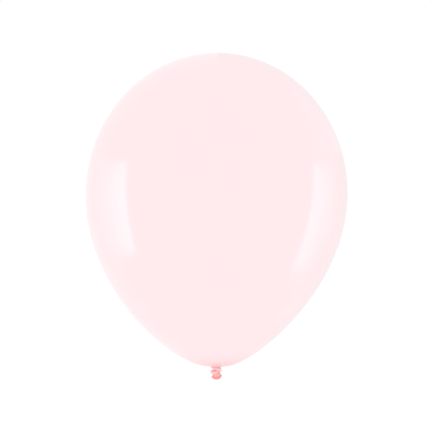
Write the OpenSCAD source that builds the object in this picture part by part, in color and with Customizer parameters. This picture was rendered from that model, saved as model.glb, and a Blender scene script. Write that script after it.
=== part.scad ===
// Inflated latex balloon, tied off with an overhand knot.
// Millimetres, +Z up. The origin is where the film gathers into the neck strand:
// the envelope stands above it, the knot and the tail hang below it.

/* [Envelope] */
// Greatest width of the inflated envelope
envelope_w = 280; // [200:1:305]
// Height from the neck to the widest ring
belly_h = 184.5; // [150:0.5:210]
// Height from the widest ring to the crown
crown_h = 151; // [110:0.5:165]
// Thickness of the stretched film as a solid wall
film_t = 0.3; // [0.25:0.05:0.6]
// Width of the thicker spot that is left at the crown
crown_spot_w = 20; // [10:1:40]
// How straight the wall runs down below the widest ring
belly_pull = 0.53; // [0.4:0.01:0.65]
// How far the shallow cone round the neck reaches out
cone_len = 40.5; // [30:0.5:60]
// Slope of that cone above the horizontal
cone_slope = 10.4; // [6:0.2:16]

/* [Neck] */
// Width of the ring of gathered film
gather_w = 25.4; // [22:0.2:30]
// Width of the gathered strand between envelope and knot
strand_w = 3.8; // [3.4:0.1:4]
// Number of pleats in the gathered film
pleats = 18; // [12:1:24]

/* [Knot] */
// Outer width of the upper turn of the knot
knot_w = 12.8; // [12:0.1:13.6]
// Thickness of the upper turn
upper_turn_t = 4.4; // [4:0.1:4.6]
// Thickness of the lower turn
lower_turn_t = 2.9; // [2.6:0.1:3]
// Slant of the two turns
turn_slant = 6; // [0:1:7]

/* [Tail] */
// Width of the short strand between knot and tail
tail_stem_w = 3.2; // [2.8:0.1:3.4]
// Outer width of the rolled rim
rim_w = 10.6; // [9.6:0.1:11]
// Thickness of the rolled rim
rim_t = 2; // [1.8:0.1:2.2]

/* [Hidden] */
$fn = 96;

latex_thin = [0.99, 0.86, 0.87];
latex_gathered = [0.98, 0.76, 0.78];
latex_thick = [0.96, 0.62, 0.62];

envelope_r = envelope_w / 2;
gather_r = gather_w / 2;
strand_r = strand_w / 2;
tail_stem_r = tail_stem_w / 2;

// Gap round the gathered ring, which turns in the envelope's lower edge
seam_gap = 0.3;
// Gap round each rounded end that turns in a socket
socket_gap = 0.15;
// Height of the envelope's lower edge
edge_z = 0.4;

// Heights of the bends at each end of the two short strands, sideways above and to the front below
sway_side_z = 0.3;
sway_front_z = -1.2;
tail_side_z = -9.8;
tail_front_z = -11;

// The knot hangs from the lower bend of the strand
core_r = 3;
upper_turn_r = knot_w / 2 - upper_turn_t / 2;
upper_turn_z = -4.3;
lower_turn_r = 4.2;
lower_turn_z = upper_turn_z - upper_turn_t / 2 - lower_turn_t / 2 - 0.05;

// The tail widens to the rolled rim, with the closed mouth inside it
tail_top_r = tail_stem_r + 0.5;
tail_end_r = 3.4;
rim_r = rim_w / 2 - rim_t / 2;
rim_z = -13.4;
tail_end_z = rim_z - 0.7;
tail_flare_z = rim_z + rim_t / 2;
mouth_r = 2.6;
mouth_depth = 0.8;

profile_steps = 48;

// A point on a cubic curve through a and d, pulled towards b and c
function cubic(a, b, c, d, t) =
    pow(1 - t, 3) * a + 3 * pow(1 - t, 2) * t * b + 3 * (1 - t) * t * t * c + pow(t, 3) * d;

// Outer outline of the envelope, from its lower edge up to the crown, as [radius, height]
edge = [gather_r + seam_gap, edge_z];
cone_pull = edge + cone_len * [cos(cone_slope), sin(cone_slope)];
belly = [envelope_r, belly_h];
wall_pull = [envelope_r, belly_h * (1 - belly_pull)];
lower_outline = [for (i = [0 : profile_steps])
    cubic(edge, cone_pull, wall_pull, belly, i / profile_steps)];
upper_outline = [for (i = [1 : profile_steps])
    let (a = 90 * i / profile_steps)
    i == profile_steps ? [0, belly_h + crown_h] : [envelope_r * cos(a), belly_h + crown_h * sin(a)]];
outline = concat(lower_outline, upper_outline);

// The film is about twice as thick at the crown spot, fading out at the spot's edge
function film_at(p) =
    film_t * (1 + (p[1] > belly_h ? exp(-pow(2 * p[0] / crown_spot_w, 2)) : 0));

// The outline's direction at point i; at the crown it runs level
function heading(i) =
    let (last = len(outline) - 1,
         d = i == last ? [-1, 0] : outline[i + 1] - outline[max(i - 1, 0)])
    d / norm(d);

// The inner face of the film lies square to the outline
inner_outline = [for (i = [0 : len(outline) - 1])
    let (d = heading(i), t = film_at(outline[i]))
    [max(outline[i][0] - d[1] * t, 0), outline[i][1] + d[0] * t]];

// Envelope: the inflated film, one thin shell from the gathered ring to the crown
module envelope() {
    color(latex_thin)
    rotate_extrude($fn = 180)
    polygon(concat(outline, [for (i = [len(inner_outline) - 1 : -1 : 0]) inner_outline[i]]));
}

// One pleat: a tapered fold that lies along the underside of the gathered ring
module pleat() {
    pleat_start = 7;
    pleat_end = gather_r - 0.5;
    translate([pleat_start, 0, 0.3])
    rotate([0, 88, 0])
    cylinder(h = pleat_end - pleat_start, r1 = 0.55, r2 = 0.3, $fn = 24);
}

// Neck gather: the ring of bunched, pleated film that closes the envelope's lower end.
// Its boss holds the rounded root of the strand.
module neck_gather() {
    boss_r = 3.6;
    color(latex_gathered)
    difference() {
        union() {
            rotate_extrude()
            polygon([[0, sway_side_z], [4, sway_side_z], [7, 0.15], [gather_r - 2, 0.3],
                     [gather_r, edge_z], [gather_r, edge_z + 0.7], [gather_r - 3, 0.95],
                     [boss_r + 1, 1.1], [boss_r, 3.2], [0, 3.2]]);
            for (i = [0 : pleats - 1])
                rotate([0, 0, 360 * i / pleats]) pleat();
        }
        translate([0, 0, sway_side_z]) sphere(r = strand_r + socket_gap);
    }
}

// A short strand between two bends, rounded about each bend
module strand(top_z, bottom_z, r) {
    union() {
        translate([0, 0, top_z]) sphere(r = r);
        translate([0, 0, bottom_z]) cylinder(h = top_z - bottom_z, r = r);
        translate([0, 0, bottom_z]) sphere(r = r);
    }
}

// Neck stem: the gathered strand that carries the knot
module neck_stem() {
    color(latex_gathered) strand(sway_side_z, sway_front_z, strand_r);
}

// Knot core: the strand's standing part inside the knot
module knot_core() {
    color(latex_thick)
    difference() {
        translate([0, 0, tail_side_z]) cylinder(h = sway_front_z - tail_side_z, r = core_r);
        translate([0, 0, sway_front_z]) sphere(r = strand_r + socket_gap);
        translate([0, 0, tail_side_z]) sphere(r = tail_stem_r + socket_gap);
    }
}

// One turn of the knot, slanting round the core
module turn(ring_r, thickness, z) {
    difference() {
        translate([0, 0, z])
        rotate([0, -turn_slant, 0])
        rotate_extrude()
        translate([ring_r, 0]) circle(d = thickness, $fn = 48);
        translate([0, 0, tail_side_z]) cylinder(h = -tail_side_z, r = core_r);
    }
}

// Upper turn: the loop that is drawn tight round the standing part
module knot_upper_turn() {
    color(latex_thick) turn(upper_turn_r, upper_turn_t, upper_turn_z);
}

// Lower turn: the end tucked through the loop, on its way to the tail
module knot_lower_turn() {
    color(latex_thick) turn(lower_turn_r, lower_turn_t, lower_turn_z);
}

// Tail stem: the strand where the free end leaves the knot
module tail_stem() {
    color(latex_thick) strand(tail_side_z, tail_front_z, tail_stem_r);
}

// Tail: the free end of the neck, which widens to its closed-up mouth
module tail() {
    color(latex_thick)
    difference() {
        rotate_extrude()
        polygon([[0, tail_front_z], [tail_top_r, tail_front_z], [tail_end_r - 0.5, tail_front_z - 1.2],
                 [tail_end_r, tail_flare_z], [tail_end_r, tail_end_z], [mouth_r, tail_end_z],
                 [mouth_r - 1, tail_end_z + mouth_depth], [0, tail_end_z + mouth_depth]]);
        translate([0, 0, tail_front_z]) sphere(r = tail_stem_r + socket_gap);
    }
}

// Rolled rim: the bead round the mouth
module rolled_rim() {
    color(latex_thick)
    difference() {
        translate([0, 0, rim_z])
        rotate_extrude()
        translate([rim_r, 0]) circle(d = rim_t, $fn = 48);
        translate([0, 0, rim_z - 3]) cylinder(h = 6, r = tail_end_r);
    }
}

envelope();
neck_gather();
neck_stem();
knot_core();
knot_upper_turn();
knot_lower_turn();
tail_stem();
tail();
rolled_rim();
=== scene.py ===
"""An inflated latex balloon, tied off with an overhand knot. Every length is in metres."""
import math

import bpy
import numpy as np
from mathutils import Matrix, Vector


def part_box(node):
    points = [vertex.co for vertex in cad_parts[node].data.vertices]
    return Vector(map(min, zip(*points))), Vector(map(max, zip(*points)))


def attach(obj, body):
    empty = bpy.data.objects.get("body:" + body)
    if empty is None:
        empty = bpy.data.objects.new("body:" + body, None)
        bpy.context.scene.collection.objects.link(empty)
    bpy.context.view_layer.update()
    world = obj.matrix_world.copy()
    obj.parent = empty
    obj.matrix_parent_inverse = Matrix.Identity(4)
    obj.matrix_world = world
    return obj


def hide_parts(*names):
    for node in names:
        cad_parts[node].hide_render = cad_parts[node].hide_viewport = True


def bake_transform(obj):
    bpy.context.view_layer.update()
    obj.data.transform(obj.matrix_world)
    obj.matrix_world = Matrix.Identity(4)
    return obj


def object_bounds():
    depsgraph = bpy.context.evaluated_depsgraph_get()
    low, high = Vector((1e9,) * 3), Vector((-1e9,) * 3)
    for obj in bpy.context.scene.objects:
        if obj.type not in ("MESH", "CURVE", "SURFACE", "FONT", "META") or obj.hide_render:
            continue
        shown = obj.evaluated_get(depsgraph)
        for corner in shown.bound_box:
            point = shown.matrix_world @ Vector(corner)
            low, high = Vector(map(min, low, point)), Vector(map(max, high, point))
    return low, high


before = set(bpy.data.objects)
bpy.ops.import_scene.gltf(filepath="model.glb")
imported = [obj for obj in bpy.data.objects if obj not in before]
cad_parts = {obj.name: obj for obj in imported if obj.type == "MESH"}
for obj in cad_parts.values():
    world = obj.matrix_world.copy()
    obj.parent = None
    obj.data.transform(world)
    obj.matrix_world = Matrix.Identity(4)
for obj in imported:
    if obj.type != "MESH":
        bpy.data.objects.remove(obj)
cad_low, cad_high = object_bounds()
rng = np.random.default_rng(12)
MM = 0.001

# ---------------------------------------------------------------- sizes, from the frame
film_low, film_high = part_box("envelope")
ring_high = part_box("neck_gather")[1]
turn_low, turn_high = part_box("knot_upper_turn")

ENVELOPE_R = (film_high.x - film_low.x) / 2
CROWN_Z = film_high.z
EDGE = np.array([ring_high.x + 0.3 * MM, film_low.z])   # CAD envelope's lower edge: radius, height
BELLY_Z = 0.55 * CROWN_Z       # height of the widest ring
BELLY_PULL = 0.53              # how straight the wall runs down below the widest ring
CONE_LEN = 40.5 * MM           # reach of the shallow cone round the neck
CONE_SLOPE = math.radians(10.4)
CROWN_SPOT = 0.3 * MM          # how far the thicker spot at the crown stands up
LEAN = 1.6 * MM                # how far the crown leans to the right
SAG = 1.7 * MM                 # and how far the film sags to the left, most at SAG_Z
SAG_Z = 40 * MM
FILM_T = 0.3 * MM
AROUND = 288                   # points round the envelope and the neck

RING_R = 25.0 * MM             # the envelope's film meets the pleats at this radius
PLEATS_R = 9.2 * MM            # the pleats meet the throat at this radius

THROAT_LOW_Z = -4.9 * MM       # where the throat ends inside the knot
STRAND_R = 1.68 * MM           # the gathered neck, pulled into a strand
KNOT_W = 0.97 * (turn_high.x - turn_low.x)
KNOT_TOP_Z = -0.62 * MM
KNOT_LOW_Z = -8.5 * MM
KNOT_ENDS = (2.3, -1.65)       # heights where the strand's ends stop, in strand radii
KNOT_TURN = math.radians(-24)  # how the knot is turned about the neck's axis
KNOT_LEVEL = 0.30              # how far its slanting turns are pulled level

# How far each part of the rubber is from fully stretched, 0 to 1, and the painted shade that deepens its
# creases
KNOT_RELAXED = 0.42
# Painted shade: the knot's colour deepens where its turns press together
KNOT_CREASE_SHADE = 0.40     # added in the knot's creases
# Painted shade: the film's colour deepens along its creases
PLEAT_CREASE_SHADE = 0.10           # added in the film's creases
STRAND_RELAXED = 0.66
BEAD_RELAXED = 0.95


# ---------------------------------------------------------------- small helpers
def smoothstep(low, high, x):
    t = np.clip((np.asarray(x) - low) / (high - low), 0, 1)
    return t * t * (3 - 2 * t)


def catmull(values, t):
    """A smooth curve through values, at positions t counted in values."""
    v = np.concatenate([[2 * values[0] - values[1]], values, [2 * values[-1] - values[-2]]])
    i = np.clip(np.floor(t).astype(int), 0, len(values) - 2)
    u = t - i
    a, b, c, d = v[i], v[i + 1], v[i + 2], v[i + 3]
    return 0.5 * (2 * b + (c - a) * u + (2 * a - 5 * b + 4 * c - d) * u ** 2
                  + (3 * b - a - 3 * c + d) * u ** 3)


def smooth_path(stops, count):
    """A smooth path through the stops, each a tuple of the same length."""
    stops = np.array(stops, float)
    t = np.linspace(0, len(stops) - 1, count)
    return np.stack([catmull(stops[:, k], t) for k in range(stops.shape[1])], 1)


def lengths(path):
    return np.concatenate([[0], np.cumsum(np.linalg.norm(np.diff(path, axis=0), axis=1))])


def even(path, count):
    """The same path with its points evenly spaced, and the spacing."""
    along = lengths(path)
    at = np.linspace(0, along[-1], count)
    return np.stack([np.interp(at, along, column) for column in path.T], 1), at[1]


def mesh_object(name, points, faces, relaxed_and_shade):
    """A smooth-shaded mesh. Its per-point value says how far the film is from fully stretched, 0 to 1,
    and also holds painted shade in creases.
    """
    mesh = bpy.data.meshes.new(name)
    mesh.from_pydata([tuple(p) for p in points], [], faces)
    mesh.polygons.foreach_set("use_smooth", [True] * len(mesh.polygons))
    mesh.update()
    obj = bpy.data.objects.new(name, mesh)
    bpy.context.scene.collection.objects.link(obj)
    set_relaxed_and_shade(obj, np.broadcast_to(relaxed_and_shade, len(points)))
    return obj


def set_relaxed_and_shade(obj, values):
    layer = obj.data.attributes.get("relaxed_and_shade") or obj.data.attributes.new("relaxed_and_shade", "FLOAT", "POINT")
    layer.data.foreach_set("value", np.asarray(values, np.float32))


def positions(obj):
    flat = np.empty(len(obj.data.vertices) * 3, np.float32)
    obj.data.vertices.foreach_get("co", flat)
    return flat.reshape(-1, 3).astype(float)


def ring_faces(rings, around, flip=False):
    """Quads between successive closed rings of points."""
    faces = []
    for i in range(rings - 1):
        for j in range(around):
            a, b = i * around + j, i * around + (j + 1) % around
            quad = (a, b, b + around, a + around)
            faces.append(quad[::-1] if flip else quad)
    return faces


def fan(ring_start, around, middle, flip=False):
    """Triangles that close a ring of points with one point in its middle."""
    triples = [(ring_start + j, ring_start + (j + 1) % around, middle) for j in range(around)]
    return [t[::-1] for t in triples] if flip else triples


# ---------------------------------------------------------------- the film's shape
def cubic(a, b, c, d, count):
    t = np.linspace(0, 1, count)[:, None]
    return (1 - t) ** 3 * a + 3 * (1 - t) ** 2 * t * b + 3 * (1 - t) * t * t * c + t ** 3 * d


def film_outline():
    """Radius and height of the whole film: from the throat inside the knot, out under the
    envelope, up to the widest ring, and over to the crown."""
    throat = [(1.0, THROAT_LOW_Z / MM), (2.2, -4.2), (3.4, -3.5), (4.4, -2.65), (5.1, -1.85),
              (5.6, -1.2), (6.3, -0.68), (7.4, -0.3), (8.9, -0.03), (10.6, 0.16)]
    neck = smooth_path([(r * MM, z * MM) for r, z in throat] + [tuple(EDGE)], 500)
    cone = EDGE + CONE_LEN * np.array([math.cos(CONE_SLOPE), math.sin(CONE_SLOPE)])
    wall = np.array([ENVELOPE_R, BELLY_Z * (1 - BELLY_PULL)])
    lower = cubic(EDGE, cone, wall, np.array([ENVELOPE_R, BELLY_Z]), 1500)
    angle = np.linspace(0, math.pi / 2, 1500)[1:]
    upper = [ENVELOPE_R * np.cos(angle), BELLY_Z + (CROWN_Z - BELLY_Z) * np.sin(angle)]
    outline = np.concatenate([neck[:-1], lower, np.stack(upper, 1)])
    # The crown spot is stretched less than the film round it, and stands up a little
    spot = 1 - smoothstep(2 * MM, 14 * MM, outline[:, 0])
    outline[:, 1] -= np.where(outline[:, 1] > CROWN_Z / 2, CROWN_SPOT * (1 - spot), 0)
    return spaced(outline, lambda neck, crown: min(
        0.22 * MM + 0.028 * neck, 0.9 * MM + 0.06 * crown, 4.5 * MM))


def spaced(outline, step):
    """Points along an outline, step(distance from its start, distance from its end) apart."""
    along = lengths(outline)
    at = [0.0]
    while at[-1] < along[-1]:
        at.append(at[-1] + step(at[-1], along[-1] - at[-1]))
    at = np.array(at) * along[-1] / at[-1]
    return np.stack([np.interp(at, along, column) for column in outline.T], 1)


PLEATS = 26
PLEAT_DEPTH = 0.42 * MM
PLEAT_NEAR = 0.25              # share of that depth left close to the knot
pleat_at = (np.arange(PLEATS) + rng.uniform(-0.32, 0.32, PLEATS)) * 2 * math.pi / PLEATS
pleat_size = rng.uniform(0.45, 1.0, PLEATS)
pleat_reach = rng.uniform(17, 42, PLEATS) * MM
pleat_swirl = rng.uniform(-0.05, 0.05, PLEATS)


def pleat_share(radius, angle):
    """How deep the creases that run out from the neck are at each radius and angle, as a share
    of PLEAT_DEPTH. It passes 1 where two creases run together."""
    depth = np.zeros_like(angle)
    for at, size, reach, swirl in zip(pleat_at, pleat_size, pleat_reach, pleat_swirl):
        off = angle - at - swirl * np.log(np.maximum(radius, 2 * MM) / EDGE[0])
        off = (off + math.pi) % (2 * math.pi) - math.pi
        width = 0.1 * MM + 0.1 * radius
        fade = 1 - smoothstep(0.35 * reach, reach, radius)
        depth += size * fade * np.exp(-(off * radius / width) ** 2)
    away = smoothstep(8 * MM, 22 * MM, radius)
    return depth * smoothstep(0.5 * MM, 6 * MM, radius) * (PLEAT_NEAR + (1 - PLEAT_NEAR) * away)


def wander(z):
    """Sideways drift of the envelope's middle: a real balloon never stands quite straight."""
    lean = LEAN * z / CROWN_Z
    sag = SAG * (z / SAG_Z) * np.exp(1 - z / SAG_Z)
    return np.where(z > 0, lean - sag, 0)


# The film relaxes towards the neck in stages: how much, and between which radii in mm
NECK_STAGES = ((0.30, 20, 54), (0.08, 24, 36), (0.16, 5, 28))


def film_relaxed(radius, z):
    """How relaxed the film is: more towards the neck, and a little at the crown."""
    neck = sum(amount * (1 - smoothstep(inner * MM, outer * MM, radius))
               for amount, inner, outer in NECK_STAGES)
    crown = 0.16 * (1 - smoothstep(4 * MM, 13 * MM, radius))
    return np.where(z > CROWN_Z / 2, crown, neck)


def make_film(path):
    """The envelope, the pleats under it, and the throat that turns down into the knot."""
    outline = film_outline()
    slope = np.gradient(outline, axis=0)
    normal = np.stack([slope[:, 1], -slope[:, 0]], 1) / np.linalg.norm(slope, axis=1)[:, None]
    angle = np.tile(np.linspace(0, 2 * math.pi, AROUND, endpoint=False), len(outline))
    r, z = np.repeat(outline, AROUND, axis=0).T
    share = pleat_share(r, angle)
    # The colour value is how relaxed the film is, plus painted shade along the pleats' creases
    relaxed_and_shade = np.clip(film_relaxed(r, z) + PLEAT_CREASE_SHADE * share, 0, 1).reshape(-1, AROUND)
    r, z = np.stack([r, z]) - PLEAT_DEPTH * share * np.repeat(normal, AROUND, axis=0).T
    # The throat leans over to where the strand enters the knot, and flattens a little
    entry = path[np.argmin(np.abs(path[:, 2] - THROAT_LOW_Z)), :2]
    lean = smoothstep(-1.6 * MM, THROAT_LOW_Z, z)
    flat = 1 - 0.3 * smoothstep(-0.4 * MM, -1.8 * MM, z)
    x = r * np.cos(angle) + wander(z) + lean * entry[0]
    y = r * flat * np.sin(angle) + lean * entry[1]
    rings = np.stack([x, y, z], 1).reshape(-1, AROUND, 3)
    low, edge = np.searchsorted(outline[:outline[:, 0].argmax(), 0], (PLEATS_R, RING_R))
    throat = film_piece("neck_throat", rings[:low + 1], relaxed_and_shade[:low + 1])
    pleats = film_piece("neck_pleats", rings[low:edge + 1], relaxed_and_shade[low:edge + 1])
    envelope = film_piece("envelope_film", rings[edge:-1], relaxed_and_shade[edge:-1], rings[-1, 0])
    return envelope, pleats, throat


def film_piece(name, rings, relaxed_and_shade, middle=None):
    """One piece of the film from its rings of points, closed by a point in the middle if given."""
    points, values = rings.reshape(-1, 3), relaxed_and_shade.ravel()
    faces = ring_faces(len(rings), AROUND)
    if middle is not None:
        faces += fan((len(rings) - 1) * AROUND, AROUND, len(points))
        points, values = np.vstack([points, middle]), np.append(values, values[-1])
    obj = mesh_object(name, points, faces, values)
    applied(obj, "SOLIDIFY", thickness=FILM_T, offset=-1)
    # The cut edges get their own points, so that they don't bend the shading beside them
    applied(obj, "EDGE_SPLIT", split_angle=math.radians(70))
    return obj


# ---------------------------------------------------------------- the knot
def tightened_knot(strand_r, reach, count=120, rounds=1400):
    """Centre line of an overhand knot pulled tight between two ends on the Z axis.
    A loose knot shortens under its own tension until the strand lies against itself."""
    t = np.linspace(-2.15, 2.15, 200)
    loose = np.stack([t ** 3 - 3 * t, t ** 4 - 4 * t ** 2, 0.45 * (t ** 5 - 10 * t)], 1)
    loose *= 1.2 * strand_r
    loose[:, 1] -= loose[:, 1].mean()
    side = np.sign(loose[-1, 2])
    far = max(reach, abs(loose[-1, 2]) + 2 * strand_r)
    path, gap = even(np.concatenate([[[0, 0, -side * far]], loose, [[0, 0, side * far]]]), count)
    steps_apart = np.abs(np.arange(count)[:, None] - np.arange(count)[None])
    for k in range(rounds):
        if k % 4 == 0:
            path, gap = even(path, count)
        path[1:-1] += 0.25 * (path[:-2] + path[2:] - 2 * path[1:-1])
        if k > rounds * 0.2:
            path[0], path[-1] = (0, 0, -side * reach), (0, 0, side * reach)
        apart = path[:, None] - path[None]
        distance = np.linalg.norm(apart, axis=2)
        touching = (distance < 2 * strand_r) & (steps_apart * gap > math.pi * strand_r)
        push = np.where(touching, (2 * strand_r - distance) / np.maximum(distance, 1e-9) * 0.5, 0)
        path[1:-1] += ((apart * push[:, :, None]).sum(1) / np.maximum(touching.sum(1), 1)[:, None])[1:-1]
    return path if path[0, 2] > 0 else path[::-1]


def tube(path, around, radius):
    """Rings of points round a path. radius(share of its length, angles) gives each ring's radii."""
    tangent = np.gradient(path, axis=0)
    tangent /= np.linalg.norm(tangent, axis=1)[:, None]
    side = np.cross(tangent[0], (0, 1, 0))
    angle = np.linspace(0, 2 * math.pi, around, endpoint=False)
    rings = []
    for i, (middle, ahead) in enumerate(zip(path, tangent)):
        side = side - ahead * (side @ ahead)
        side /= np.linalg.norm(side)
        other = np.cross(ahead, side)
        r = np.broadcast_to(radius(i / (len(path) - 1), angle), around)[:, None]
        rings.append(middle + r * (np.cos(angle)[:, None] * side + np.sin(angle)[:, None] * other))
    return np.concatenate(rings)


def applied(obj, kind, **settings):
    """Applies one modifier to the mesh."""
    modifier = obj.modifiers.new(kind.lower(), kind)
    for key, value in settings.items():
        setattr(modifier, key, value)
    graph = bpy.context.evaluated_depsgraph_get()
    mesh = bpy.data.meshes.new_from_object(obj.evaluated_get(graph))
    obj.modifiers.clear()
    obj.data = mesh
    mesh.polygons.foreach_set("use_smooth", [True] * len(mesh.polygons))


def folded(seed, turns, depth):
    """Radius of the gathered strand: lengthwise folds that wind round it."""
    own = np.random.default_rng(seed)
    waves = [(k, own.uniform(0, 2 * math.pi), own.uniform(0.5, 1)) for k in (4, 5, 7, 9)]

    def radius(share, angle):
        wave = sum(size * np.cos(k * (angle - turns * share) + at) for k, at, size in waves)
        return STRAND_R * (1.06 + depth * (0.3 - np.abs(wave) / len(waves)))
    return radius


def knot_path():
    """The tight centre line, turned, centred on the neck's axis and pulled level."""
    path, _ = even(tightened_knot(STRAND_R, 15 * MM), 420)
    wound = np.abs(path[:, 2]) < 2.9 * STRAND_R
    low, high = path[wound].min(0), path[wound].max(0)
    path[:, :2] -= (low + high)[:2] / 2
    turn, lean = math.cos(KNOT_TURN), math.sin(KNOT_TURN)
    path[:, 0], path[:, 1] = (turn * path[:, 0] - lean * path[:, 1],
                              lean * path[:, 0] + turn * path[:, 1])
    path[:, 2] -= KNOT_LEVEL * path[:, 0]
    # The free ends are drawn over to the neck's axis
    free = smoothstep(2.2 * STRAND_R, 3.6 * STRAND_R, np.abs(path[:, 2]))
    path[:, :2] *= (1 - free)[:, None]
    return path


def make_knot(path):
    """The knot's mesh. Its strand starts inside the throat and ends inside the tail's strand."""
    top, low = KNOT_ENDS
    path = path[(path[:, 2] < top * STRAND_R) & (path[:, 2] > low * STRAND_R)]
    ring = 72
    points = tube(path, ring, folded(3, 9.0, 0.17))
    faces = ring_faces(len(path), ring, flip=True)
    points = np.concatenate([points, path[[0, -1]]])
    faces += fan(0, ring, len(points) - 2)
    faces += fan((len(path) - 1) * ring, ring, len(points) - 1, flip=True)
    obj = mesh_object("overhand_knot", points, faces, 0)
    applied(obj, "REMESH", mode="VOXEL", voxel_size=0.11 * MM)
    applied(obj, "SMOOTH", factor=0.5, iterations=4)
    return obj


def fit_knot(obj, path):
    """Squeezes the knot to its width and height, and returns its centre line squeezed alike."""
    co = positions(obj)
    wound = np.abs(co[:, 2]) < 2.75 * STRAND_R
    low, high = co[wound].min(0), co[wound].max(0)
    wide = KNOT_W / (high[0] - low[0])
    tall = (KNOT_TOP_Z - KNOT_LOW_Z) / (high[2] - low[2])
    size = np.array([wide, wide, tall])
    move = np.array([-(low[0] + high[0]) / 2, -(low[1] + high[1]) / 2, KNOT_TOP_Z / tall - high[2]])
    obj.data.vertices.foreach_set("co", ((co + move) * size).astype(np.float32).ravel())
    obj.data.update()
    return (path + move) * size


def crease_share(points, path, reach):
    """How near each point is to a crease, where the strand lies against another of its turns."""
    path, gap = even(path, 160)
    off = np.linalg.norm(points[:, None] - path[None], axis=2)
    nearest = off.argmin(1)
    other = np.abs(np.arange(len(path))[None] - nearest[:, None]) * gap > 2.4 * STRAND_R
    second = np.where(other, off, 1).min(1)
    return 1 - smoothstep(0, reach, second - off.min(1))


# ---------------------------------------------------------------- the tail
TAIL_TOP_Z = -9.2 * MM         # where the strand opens into the tail's film
FAN_Z = -8.9 * MM              # the middle that the tail's mouth fans out round
TAIL_R = 5.8 * MM              # reach of the fan that the tail opens into
TAIL_TALL = 0.92               # its height, as a share of its reach
TAIL_TILT = math.radians(8)    # the fan's right side stands higher
FAN_HALF = math.radians(75)
TAIL_X = 0.5 * MM              # the tail hangs a little to the right of the neck
MOUTH_HALF = 1.5 * MM          # half the mouth's width, front to back
BEAD_R = 0.75 * MM
TAIL_NECK = (4.3 * MM, 2.9 * MM)   # half width and half depth of the strand where it opens
STRAND_START = 1.0 * MM        # its half width and half depth inside the knot
TAIL_AROUND = 144              # points round the strand and the tail
STRAND_RINGS = 60
TAIL_RINGS = 80
MOUTH_RINGS = 24               # rings of the tail's inside, which shows in the mouth
BEAD_RINGS = 220
BEAD_AROUND = 28


def strand_ring(z, middle, wide, deep, angle):
    """One ring of the gathered strand, folded lengthwise."""
    fold = 1 + 0.10 * np.cos(5 * angle + 0.6) + 0.07 * np.cos(8 * angle + 2.0)
    return np.stack([middle[0] + wide * fold * np.cos(angle),
                     middle[1] + deep * fold * np.sin(angle), np.full_like(angle, z)], 1)


def mouth_curve(angle):
    """The tail's mouth: a flattened oval, bent round into a fan, and wavy like relaxed rubber."""
    lean = FAN_HALF * np.sign(np.cos(angle)) * np.abs(np.cos(angle)) ** 0.8 + TAIL_TILT
    reach = TAIL_R * (1 + 0.03 * np.cos(3 * angle + 0.8)) - BEAD_R
    y = -MOUTH_HALF * np.sin(angle) * (1 + 0.25 * np.cos(2 * angle + 0.5)) - 0.1 * MM
    y += 0.30 * MM * np.sin(3 * lean + 1.0)
    z = FAN_Z - TAIL_TALL * reach * np.cos(lean) ** 0.75
    return np.stack([reach * np.sin(lean) + TAIL_X, y, z], 1)


def tail_surface(share, angle, inset=0.0):
    """A ring of the tail's film: share runs from 0 at the strand to 1 at the mouth."""
    top = strand_ring(TAIL_TOP_Z, (TAIL_X, 0), TAIL_NECK[0], TAIL_NECK[1], -angle)
    mouth = mouth_curve(angle)
    out = smoothstep(0, 1, share)
    ring = top + (mouth - top) * np.array([out, out, share])
    side = np.cos(angle)
    swell = math.sin(math.pi * share) ** 2
    fold = 0.34 * MM * np.cos(9 * side + 1.2) + 0.22 * MM * np.cos(15 * side + 0.4)
    ring[:, 1] -= np.sin(angle) * (0.55 * MM + fold) * swell
    middle = ring.mean(0)
    return middle + (ring - middle) * (1 - inset * np.array([0.06, 0.35, 0]))


def make_tail(path):
    """The strand below the knot, the film that fans out from it, and the rolled rim."""
    angle = np.linspace(0, 2 * math.pi, TAIL_AROUND, endpoint=False)
    free = path[np.arange(len(path)) > 0.8 * len(path)]
    order = np.argsort(free[:, 2])
    top_z = KNOT_LOW_Z + 3.6 * MM
    rings = []
    for share in np.linspace(0, 1, STRAND_RINGS):
        z = top_z + (TAIL_TOP_Z - top_z) * share
        middle = [np.interp(z, free[order, 2], free[order, k]) * (1 - share) for k in (0, 1)]
        middle[0] += TAIL_X * share
        flare = math.sin(min(1.15 * share, 1) * math.pi / 2)
        wide, deep = (STRAND_START + (size - STRAND_START) * flare for size in TAIL_NECK)
        rings.append(strand_ring(z, middle, wide, deep, -angle))
    strand = mesh_object("tail_strand", np.concatenate(rings),
                         ring_faces(len(rings), TAIL_AROUND), STRAND_RELAXED)

    outer = [tail_surface(s, angle) for s in np.linspace(0, 1, TAIL_RINGS)]
    inner = [tail_surface(s, angle, 1.0) for s in np.linspace(1, 0.35, MOUTH_RINGS)]
    inner = [ring if k else outer[-1] + (ring - outer[-1]) * 0.5 for k, ring in enumerate(inner)]
    points = np.concatenate(outer + inner)
    count = len(outer) + len(inner)
    faces = ring_faces(count, TAIL_AROUND)
    points = np.concatenate([points, [inner[-1].mean(0)]])
    faces += fan((count - 1) * TAIL_AROUND, TAIL_AROUND, len(points) - 1)
    deeper = smoothstep(0, 0.55, np.linspace(0, 1, len(outer)))
    deepening = STRAND_RELAXED + (1 - STRAND_RELAXED) * deeper
    relaxed_and_shade = np.repeat(np.append(deepening, np.full(len(inner), 1)), TAIL_AROUND)
    film = mesh_object("tail_film", points, faces, np.append(relaxed_and_shade, 1))

    loop = mouth_curve(np.linspace(0, 2 * math.pi, BEAD_RINGS, endpoint=False))
    bead = mesh_object("rolled_rim_bead", closed_bead(loop, BEAD_AROUND),
                       closed_faces(BEAD_RINGS, BEAD_AROUND), BEAD_RELAXED)
    return strand, film, bead


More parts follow.
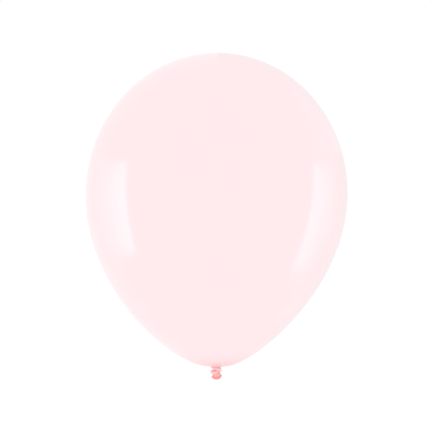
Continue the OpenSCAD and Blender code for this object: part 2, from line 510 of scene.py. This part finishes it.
def closed_bead(loop, around):
    """A tube round a closed loop: the mouth's edge rolled up on itself."""
    ahead = np.roll(loop, -1, axis=0) - np.roll(loop, 1, axis=0)
    ahead /= np.linalg.norm(ahead, axis=1)[:, None]
    outward = loop - loop.mean(0) - np.array([0, 0, 1.5 * MM])
    outward -= ahead * (outward * ahead).sum(1)[:, None]
    outward /= np.linalg.norm(outward, axis=1)[:, None]
    other = np.cross(ahead, outward)
    along = np.linspace(0, 2 * math.pi, len(loop), endpoint=False)
    thick = BEAD_R * (1 + 0.07 * np.cos(5 * along + 1) + 0.05 * np.cos(11 * along))
    angle = np.linspace(0, 2 * math.pi, around, endpoint=False)
    return np.concatenate([
        p + r * (np.cos(angle)[:, None] * u + np.sin(angle)[:, None] * v)
        for p, u, v, r in zip(loop, outward, other, thick)])


def closed_faces(rings, around):
    """Quads of a tube whose last ring joins its first."""
    faces = []
    for i in range(rings):
        for j in range(around):
            k, n = (j + 1) % around, (i + 1) % rings
            faces.append((i * around + j, i * around + k, n * around + k, n * around + j))
    return faces


# ---------------------------------------------------------------- materials
def add(tree, kind, inputs=(), **settings):
    """Adds a node, and sets its properties and its sockets: each to a value or a link."""
    node = tree.nodes.new("ShaderNode" + kind)
    for key, value in settings.items():
        setattr(node, key, value)
    for key, value in dict(inputs).items():
        if isinstance(value, bpy.types.NodeSocket):
            tree.links.new(value, node.inputs[key])
        else:
            node.inputs[key].default_value = value
    return node


def noise(tree, where, scale, detail=3.0, roughness=0.5):
    node = add(tree, "TexNoise", {"Vector": where, "Scale": scale, "Detail": detail,
                                  "Roughness": roughness})
    return node.outputs[0]


def math_node(tree, operation, *values):
    return add(tree, "Math", dict(enumerate(values)), operation=operation).outputs[0]


def ranged(tree, value, low, high):
    """Turns a texture's 0.3 to 0.7 into low to high."""
    node = add(tree, "MapRange", {0: value, 1: 0.3, 2: 0.7, 3: low, 4: high})
    return node.outputs[0]


LATEX_IOR = 1.8                # above rubber's 1.52, so that dim softboxes give the highlights
# Colour of the film from fully stretched to fully relaxed, linear
LATEX_COLOURS = ((0.00, (1.0, 0.791, 0.816)), (0.30, (1.0, 0.690, 0.715)),
                 (0.60, (1.0, 0.555, 0.560)), (1.00, (1.0, 0.385, 0.360)))


def latex(name, roughness, cloud, streak, grain_scale, grain, subsurface):
    """Pink latex. Its depth of colour follows how relaxed the film is and the painted shade in its
    creases, with dip-moulded streaks, faint clouds of uneven thickness, and a fine grain."""
    material = bpy.data.materials.new(name)
    material.use_nodes = True
    tree = material.node_tree
    shader = tree.nodes["Principled BSDF"]
    where = add(tree, "TexCoord").outputs["Object"]
    upright = add(tree, "Mapping", {"Vector": where, "Scale": (1, 1, 0.05)}).outputs[0]

    clouds = ranged(tree, noise(tree, where, 16, 4), -cloud, cloud)
    streaks = ranged(tree, noise(tree, upright, 90, 2), -streak, streak)
    speckle = ranged(tree, noise(tree, where, 700, 2), -0.4 * cloud, 0.4 * cloud)
    # The attribute holds how relaxed the film is, plus painted shade in the creases
    relaxed_and_shade = add(tree, "Attribute", attribute_name="relaxed_and_shade").outputs["Fac"]
    depth = math_node(tree, "ADD", relaxed_and_shade, clouds)
    depth = math_node(tree, "ADD", depth, streaks)
    depth = math_node(tree, "ADD", depth, speckle)
    ramp = add(tree, "ValToRGB", {0: depth})
    stops = ramp.color_ramp.elements
    for k, (at, colour) in enumerate(LATEX_COLOURS):
        stop = stops[k] if k < 2 else stops.new(at)
        stop.position, stop.color = at, (*colour, 1)
    tree.links.new(ramp.outputs[0], shader.inputs["Base Color"])

    patches = ranged(tree, noise(tree, where, 45, 3), roughness - 0.025, roughness + 0.025)
    gloss = add(tree, "Math", {0: relaxed_and_shade, 1: 0.35, 2: patches}, operation="MULTIPLY_ADD")
    tree.links.new(gloss.outputs[0], shader.inputs["Roughness"])
    shader.inputs["Roughness"].default_value = roughness
    bumps = noise(tree, where, grain_scale, 3)
    bump = add(tree, "Bump", {"Height": bumps, "Strength": grain, "Distance": 0.02 * MM})
    tree.links.new(bump.outputs[0], shader.inputs["Normal"])

    shader.inputs["IOR"].default_value = LATEX_IOR
    if subsurface:
        shader.inputs["Subsurface Weight"].default_value = subsurface
        shader.inputs["Subsurface Radius"].default_value = (1.0, 0.35, 0.3)
        shader.inputs["Subsurface Scale"].default_value = 0.9 * MM
    return material


def film_material():
    return latex("latex_film", roughness=0.15, cloud=0.010, streak=0.010,
                 grain_scale=1500, grain=0.10, subsurface=0)


def gathered_material():
    return latex("latex_gathered", roughness=0.15, cloud=0.011, streak=0.011,
                 grain_scale=1500, grain=0.12, subsurface=0)


def knot_material():
    return latex("latex_relaxed", roughness=0.12, cloud=0.05, streak=0.02,
                 grain_scale=4000, grain=0.4, subsurface=0.15)


def rim_material():
    return latex("latex_rolled_rim", roughness=0.12, cloud=0.05, streak=0.0,
                 grain_scale=4500, grain=0.4, subsurface=0.15)


def dress(obj, material):
    obj.data.materials.clear()
    obj.data.materials.append(material)


# ---------------------------------------------------------------- the studio
VIEW_W = 0.4625                # width of the picture at the balloon
LENS = 180.0
SENSOR = 36.0
VIEW_RAISE = 0.2 * MM          # how far the camera stands above the balloon's middle
FLOOR_Z = -0.45
FLOOR_R = 6.0
WORLD_LIGHT = 1.01
FLAG_HEIGHTS = (-0.3, 0.7)
FLAG_TOP_HEIGHTS = (0.246, 0.7)


def glow(material, colour, strength):
    """Makes a material emit. strength is a number or a link."""
    tree = material.node_tree
    shader = tree.nodes["Principled BSDF"]
    shader.inputs["Emission Color"].default_value = (*colour, 1)
    if isinstance(strength, bpy.types.NodeSocket):
        tree.links.new(strength, shader.inputs["Emission Strength"])
    else:
        shader.inputs["Emission Strength"].default_value = strength


def make_world():
    world = bpy.data.worlds.new("white_studio")
    world.use_nodes = True
    sky = world.node_tree.nodes["Background"]
    sky.inputs["Color"].default_value = (1, 1, 1, 1)
    sky.inputs["Strength"].default_value = WORLD_LIGHT
    bpy.context.scene.world = world


def make_floor():
    """A pale floor with a painted glow that brightens it to the backdrop's white away from the balloon.
    """
    sides = 96
    angle = np.linspace(0, 2 * math.pi, sides, endpoint=False)
    points = [(FLOOR_R * math.cos(a), FLOOR_R * math.sin(a), FLOOR_Z) for a in angle]
    floor = mesh_object("floor", points, [tuple(range(sides))], 0)
    material = bpy.data.materials.new("floor_paper")
    material.use_nodes = True
    tree = material.node_tree
    shader = tree.nodes["Principled BSDF"]
    where = add(tree, "TexCoord").outputs["Object"]
    tone = ranged(tree, noise(tree, where, 3, 4), 0.86, 0.89)
    paper = add(tree, "CombineColor", {0: tone, 1: tone, 2: tone}).outputs[0]
    tree.links.new(paper, shader.inputs["Base Color"])
    shader.inputs["Roughness"].default_value = 0.85
    away = add(tree, "VectorMath", {0: where}, operation="LENGTH").outputs["Value"]
    # Painted light: the floor glows, more away from the balloon, to blend into the white backdrop
    bright = add(tree, "MapRange", {0: away, 1: 0.2, 2: 1.5, 3: 0.10, 4: 0.16}).outputs[0]
    glow(material, (1, 1, 1), bright)
    floor.data.materials.append(material)


def make_panel(name, away, azimuths, heights, edge, fade, falloff=1.0, bow=0.0):
    """An upright curved panel that only shows in reflections. Its glow falls from its first edge
    to its last, and fades into the white room at its top and bottom, except beside its first
    edge, which bows back by bow degrees there. Azimuths are measured from the camera's side."""
    columns, rows = 32, 17
    points, bright = [], []
    for share in np.linspace(0, 1, columns):
        for up in np.linspace(0, 1, rows):
            end = (2 * up - 1) ** 2
            back = bow * end * (1 - share)
            a = math.radians(azimuths[0] + (azimuths[1] - azimuths[0]) * share + back)
            z = heights[0] + (heights[1] - heights[0]) * up
            points.append((away * math.sin(a), -away * math.cos(a), z))
            glow_here = fade + (edge - fade) * (1 - share) ** falloff
            bright.append(1 + (glow_here - 1) * (1 - end ** 3 * smoothstep(0, 0.4, share)))
    faces = [(k * rows + i, k * rows + i + 1, (k + 1) * rows + i + 1, (k + 1) * rows + i)
             for k in range(columns - 1) for i in range(rows - 1)]
    panel = mesh_object(name, points, faces, 0)
    layer = panel.data.attributes.new("bright", "FLOAT", "POINT")
    layer.data.foreach_set("value", np.array(bright, np.float32))
    material = bpy.data.materials.new(name)
    material.use_nodes = True
    shader = material.node_tree.nodes["Principled BSDF"]
    shader.inputs["Base Color"].default_value = (0, 0, 0, 1)
    shader.inputs["Specular IOR Level"].default_value = 0
    strength = add(material.node_tree, "Attribute", attribute_name="bright").outputs["Fac"]
    glow(material, (1, 1, 1), strength)
    panel.data.materials.append(material)
    panel.visible_camera = False
    panel.visible_diffuse = False
    panel.visible_shadow = False


def make_camera():
    camera = bpy.data.cameras.new("camera")
    camera.sensor_width = SENSOR
    camera.lens = LENS
    camera.clip_start = 0.05
    camera.clip_end = 50
    obj = bpy.data.objects.new("camera", camera)
    bpy.context.scene.collection.objects.link(obj)
    obj.location = (0, -VIEW_W * LENS / SENSOR, (cad_low.z + cad_high.z) / 2 + VIEW_RAISE)
    obj.rotation_euler = (math.pi / 2, 0, 0)
    bpy.context.scene.camera = obj


def make_studio():
    make_world()
    make_floor()
    make_panel("softbox_left", away=0.7, azimuths=(-77, -130), heights=(-0.21, 0.40),
               edge=2.4, fade=1.03, falloff=2.1, bow=-4.5)
    make_panel("softbox_right", away=0.7, azimuths=(82.5, 124), heights=(-0.36, 0.37),
               edge=2.05, fade=0.90, falloff=1.4, bow=6)
    make_panel("backdrop_panel", away=1.0, azimuths=(80, 200), heights=(-0.44, 1.2),
               edge=0.9, fade=0.9)
    # Flags close to the balloon keep the softboxes off its edges in views from the side
    make_panel("flag_front", away=0.15, azimuths=(-41, 44), heights=FLAG_HEIGHTS,
               edge=1.0, fade=1.0)
    make_panel("flag_back_left", away=0.2, azimuths=(-118, -180), heights=FLAG_HEIGHTS,
               edge=1.0, fade=1.0)
    make_panel("flag_back_right", away=0.2, azimuths=(118, 180), heights=FLAG_HEIGHTS,
               edge=0.9, fade=0.9)
    make_panel("flag_top_left", away=0.2, azimuths=(-41, -118), heights=FLAG_TOP_HEIGHTS,
               edge=1.0, fade=1.0)
    make_panel("flag_top_right", away=0.2, azimuths=(44, 118), heights=FLAG_TOP_HEIGHTS,
               edge=1.0, fade=0.95)
    make_camera()
    scene = bpy.context.scene
    scene.view_settings.view_transform = "Standard"
    scene.view_settings.look = "None"


# ---------------------------------------------------------------- the balloon
def make_balloon():
    film, gathered = film_material(), gathered_material()
    knotted, rolled = knot_material(), rim_material()
    path = knot_path()
    knot = make_knot(path)
    path = fit_knot(knot, path)
    # Painted shade: the knot's colour deepens in its creases, where its turns press together
    crease_shade = crease_share(positions(knot), path, 0.5 * MM)
    set_relaxed_and_shade(knot, KNOT_RELAXED + KNOT_CREASE_SHADE * crease_shade)
    dress(knot, knotted)
    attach(knot, "knot")
    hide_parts("knot_core", "knot_upper_turn", "knot_lower_turn")

    envelope, pleats, throat = make_film(path)
    dress(envelope, film)
    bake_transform(envelope)
    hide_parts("envelope")
    dress(pleats, gathered)
    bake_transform(pleats)
    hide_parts("neck_gather")
    dress(throat, gathered)
    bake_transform(throat)
    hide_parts("neck_stem")

    strand, tail, bead = make_tail(path)
    dress(strand, knotted)
    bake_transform(strand)
    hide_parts("tail_stem")
    for obj, material, node in ((tail, knotted, "tail"), (bead, rolled, "rolled_rim")):
        dress(obj, material)
        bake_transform(obj)
        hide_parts(node)


make_balloon()
make_studio()
